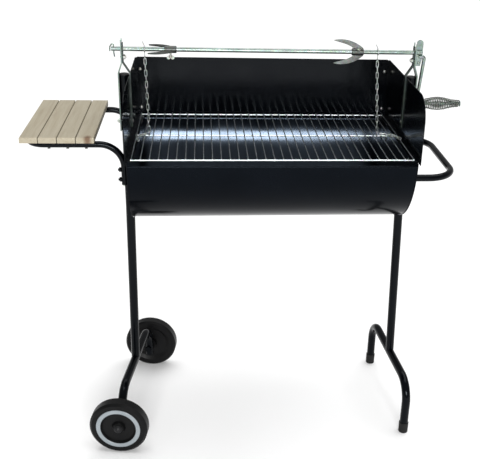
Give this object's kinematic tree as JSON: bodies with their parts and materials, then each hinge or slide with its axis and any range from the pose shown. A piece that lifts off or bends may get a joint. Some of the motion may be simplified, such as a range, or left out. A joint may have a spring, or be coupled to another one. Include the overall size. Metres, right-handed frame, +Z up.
{
  "type": "barrel charcoal grill",
  "caption": "Half-drum charcoal grill on two tube stands with wheels, a chain-hung cooking grate, a hand-cranked spit, a windshield, a slatted side shelf and a carry handle.",
  "frame": {"origin": "middle of the bottom of the whole grill, on the floor", "axes": "+X from the side shelf to the crank, +Y from the open front to the back shield, +Z up"},
  "size_m": [1.115, 0.4844, 1.0915],
  "materials": {
    "black_enamel": "gloss black enamel",
    "slat_wood": "light softwood",
    "grate_wire": "plated wire",
    "cap_rubber": "matt black rubber",
    "plug_plastic": "black plastic",
    "wheel_plastic": "moulded black plastic",
    "ring_plastic": "pale trim ring",
    "fork_steel": "dark grey steel",
    "chain_steel": "plated steel wire",
    "spit_zinc": "zinc-plated steel",
    "strap_zinc": "zinc-plated flat bar",
    "fastener_zinc": "zinc-plated fastener"
  },
  "bodies": {
    "frame": {"trough": "black_enamel", "trough_bolts": "fastener_zinc", "left_end_disc": "black_enamel", "right_end_disc": "black_enamel", "left_side_panel": "black_enamel", "right_side_panel": "black_enamel", "back_shield": "black_enamel", "shield_bolts": "fastener_zinc", "panel_bolts": "fastener_zinc", "left_leg": "black_enamel", "right_leg": "black_enamel", "leg_plugs": "plug_plastic", "leg_bolts": "fastener_zinc", "wheel_bar": "black_enamel", "foot_bar": "black_enamel", "foot_caps": "cap_rubber", "front_axle": "black_enamel", "rear_axle": "black_enamel", "front_axle_cap": "plug_plastic", "rear_axle_cap": "plug_plastic", "shelf_tube": "black_enamel", "shelf_slat_1": "slat_wood", "shelf_slat_2": "slat_wood", "shelf_slat_3": "slat_wood", "shelf_slat_4": "slat_wood", "slat_screws": "fastener_zinc", "shelf_bolts": "black_enamel", "carry_handle": "black_enamel", "handle_bolts": "fastener_zinc", "left_spit_post": "strap_zinc", "right_spit_post": "strap_zinc", "left_spit_brace": "strap_zinc", "right_spit_brace": "strap_zinc", "post_bolts": "fastener_zinc", "left_hanging_chain": "chain_steel", "right_hanging_chain": "chain_steel", "chain_hooks": "chain_steel"},
    "grate": {"cooking_grate": "grate_wire", "grate_rings": "grate_wire", "left_slack_chain": "chain_steel", "right_slack_chain": "chain_steel"},
    "spit": {"spit_rod": "spit_zinc", "spit_end_pin": "spit_zinc", "crank_plate": "spit_zinc", "crank_bolt": "fastener_zinc", "crank_arm": "spit_zinc"},
    "grip": {"crank_grip": "spit_zinc"},
    "left_fork": {"left_fork_collar": "fork_steel", "left_fork_prongs": "fork_steel"},
    "left_screw": {"left_thumb_screw": "fastener_zinc"},
    "right_fork": {"right_fork_collar": "fork_steel", "right_fork_prongs": "fork_steel"},
    "right_screw": {"right_thumb_screw": "fastener_zinc"},
    "front_wheel": {"front_wheel": "wheel_plastic", "front_wheel_ring": "ring_plastic"},
    "rear_wheel": {"rear_wheel": "wheel_plastic", "rear_wheel_ring": "ring_plastic"}
  },
  "joints": [
    {"name": "grate_lift", "type": "slide", "parent": "frame", "child": "grate", "axis": [0, 0, 1], "range_m": [0, 0.1], "deforming": ["left_hanging_chain", "right_hanging_chain"]},
    {"name": "spit_turn", "type": "hinge", "parent": "frame", "child": "spit", "pos_m": [0.0485, 0, 1.06], "axis": [1, 0, 0], "continuous": true},
    {"name": "grip_turn", "type": "hinge", "parent": "spit", "child": "grip", "pos_m": [0.4985, 0, 0.926], "axis": [1, 0, 0], "continuous": true},
    {"name": "left_fork_slide", "type": "slide", "parent": "spit", "child": "left_fork", "axis": [1, 0, 0], "range_m": [0, 0.15]},
    {"name": "right_fork_slide", "type": "slide", "parent": "spit", "child": "right_fork", "axis": [1, 0, 0], "range_m": [-0.15, 0.02]},
    {"name": "left_screw_turn", "type": "hinge", "parent": "left_fork", "child": "left_screw", "pos_m": [-0.2035, 0, 1.04], "axis": [0, 0, 1], "continuous": true},
    {"name": "right_screw_turn", "type": "hinge", "parent": "right_fork", "child": "right_screw", "pos_m": [0.2715, -0.01732, 1.07], "axis": [0, -0.866, 0.5], "continuous": true},
    {"name": "front_wheel_turn", "type": "hinge", "parent": "frame", "child": "front_wheel", "pos_m": [-0.35743, -0.21363, 0.079], "axis": [0.1478, 0.989, 0], "continuous": true},
    {"name": "rear_wheel_turn", "type": "hinge", "parent": "frame", "child": "rear_wheel", "pos_m": [-0.29357, 0.21363, 0.079], "axis": [0.1478, 0.989, 0], "continuous": true}
  ]
}
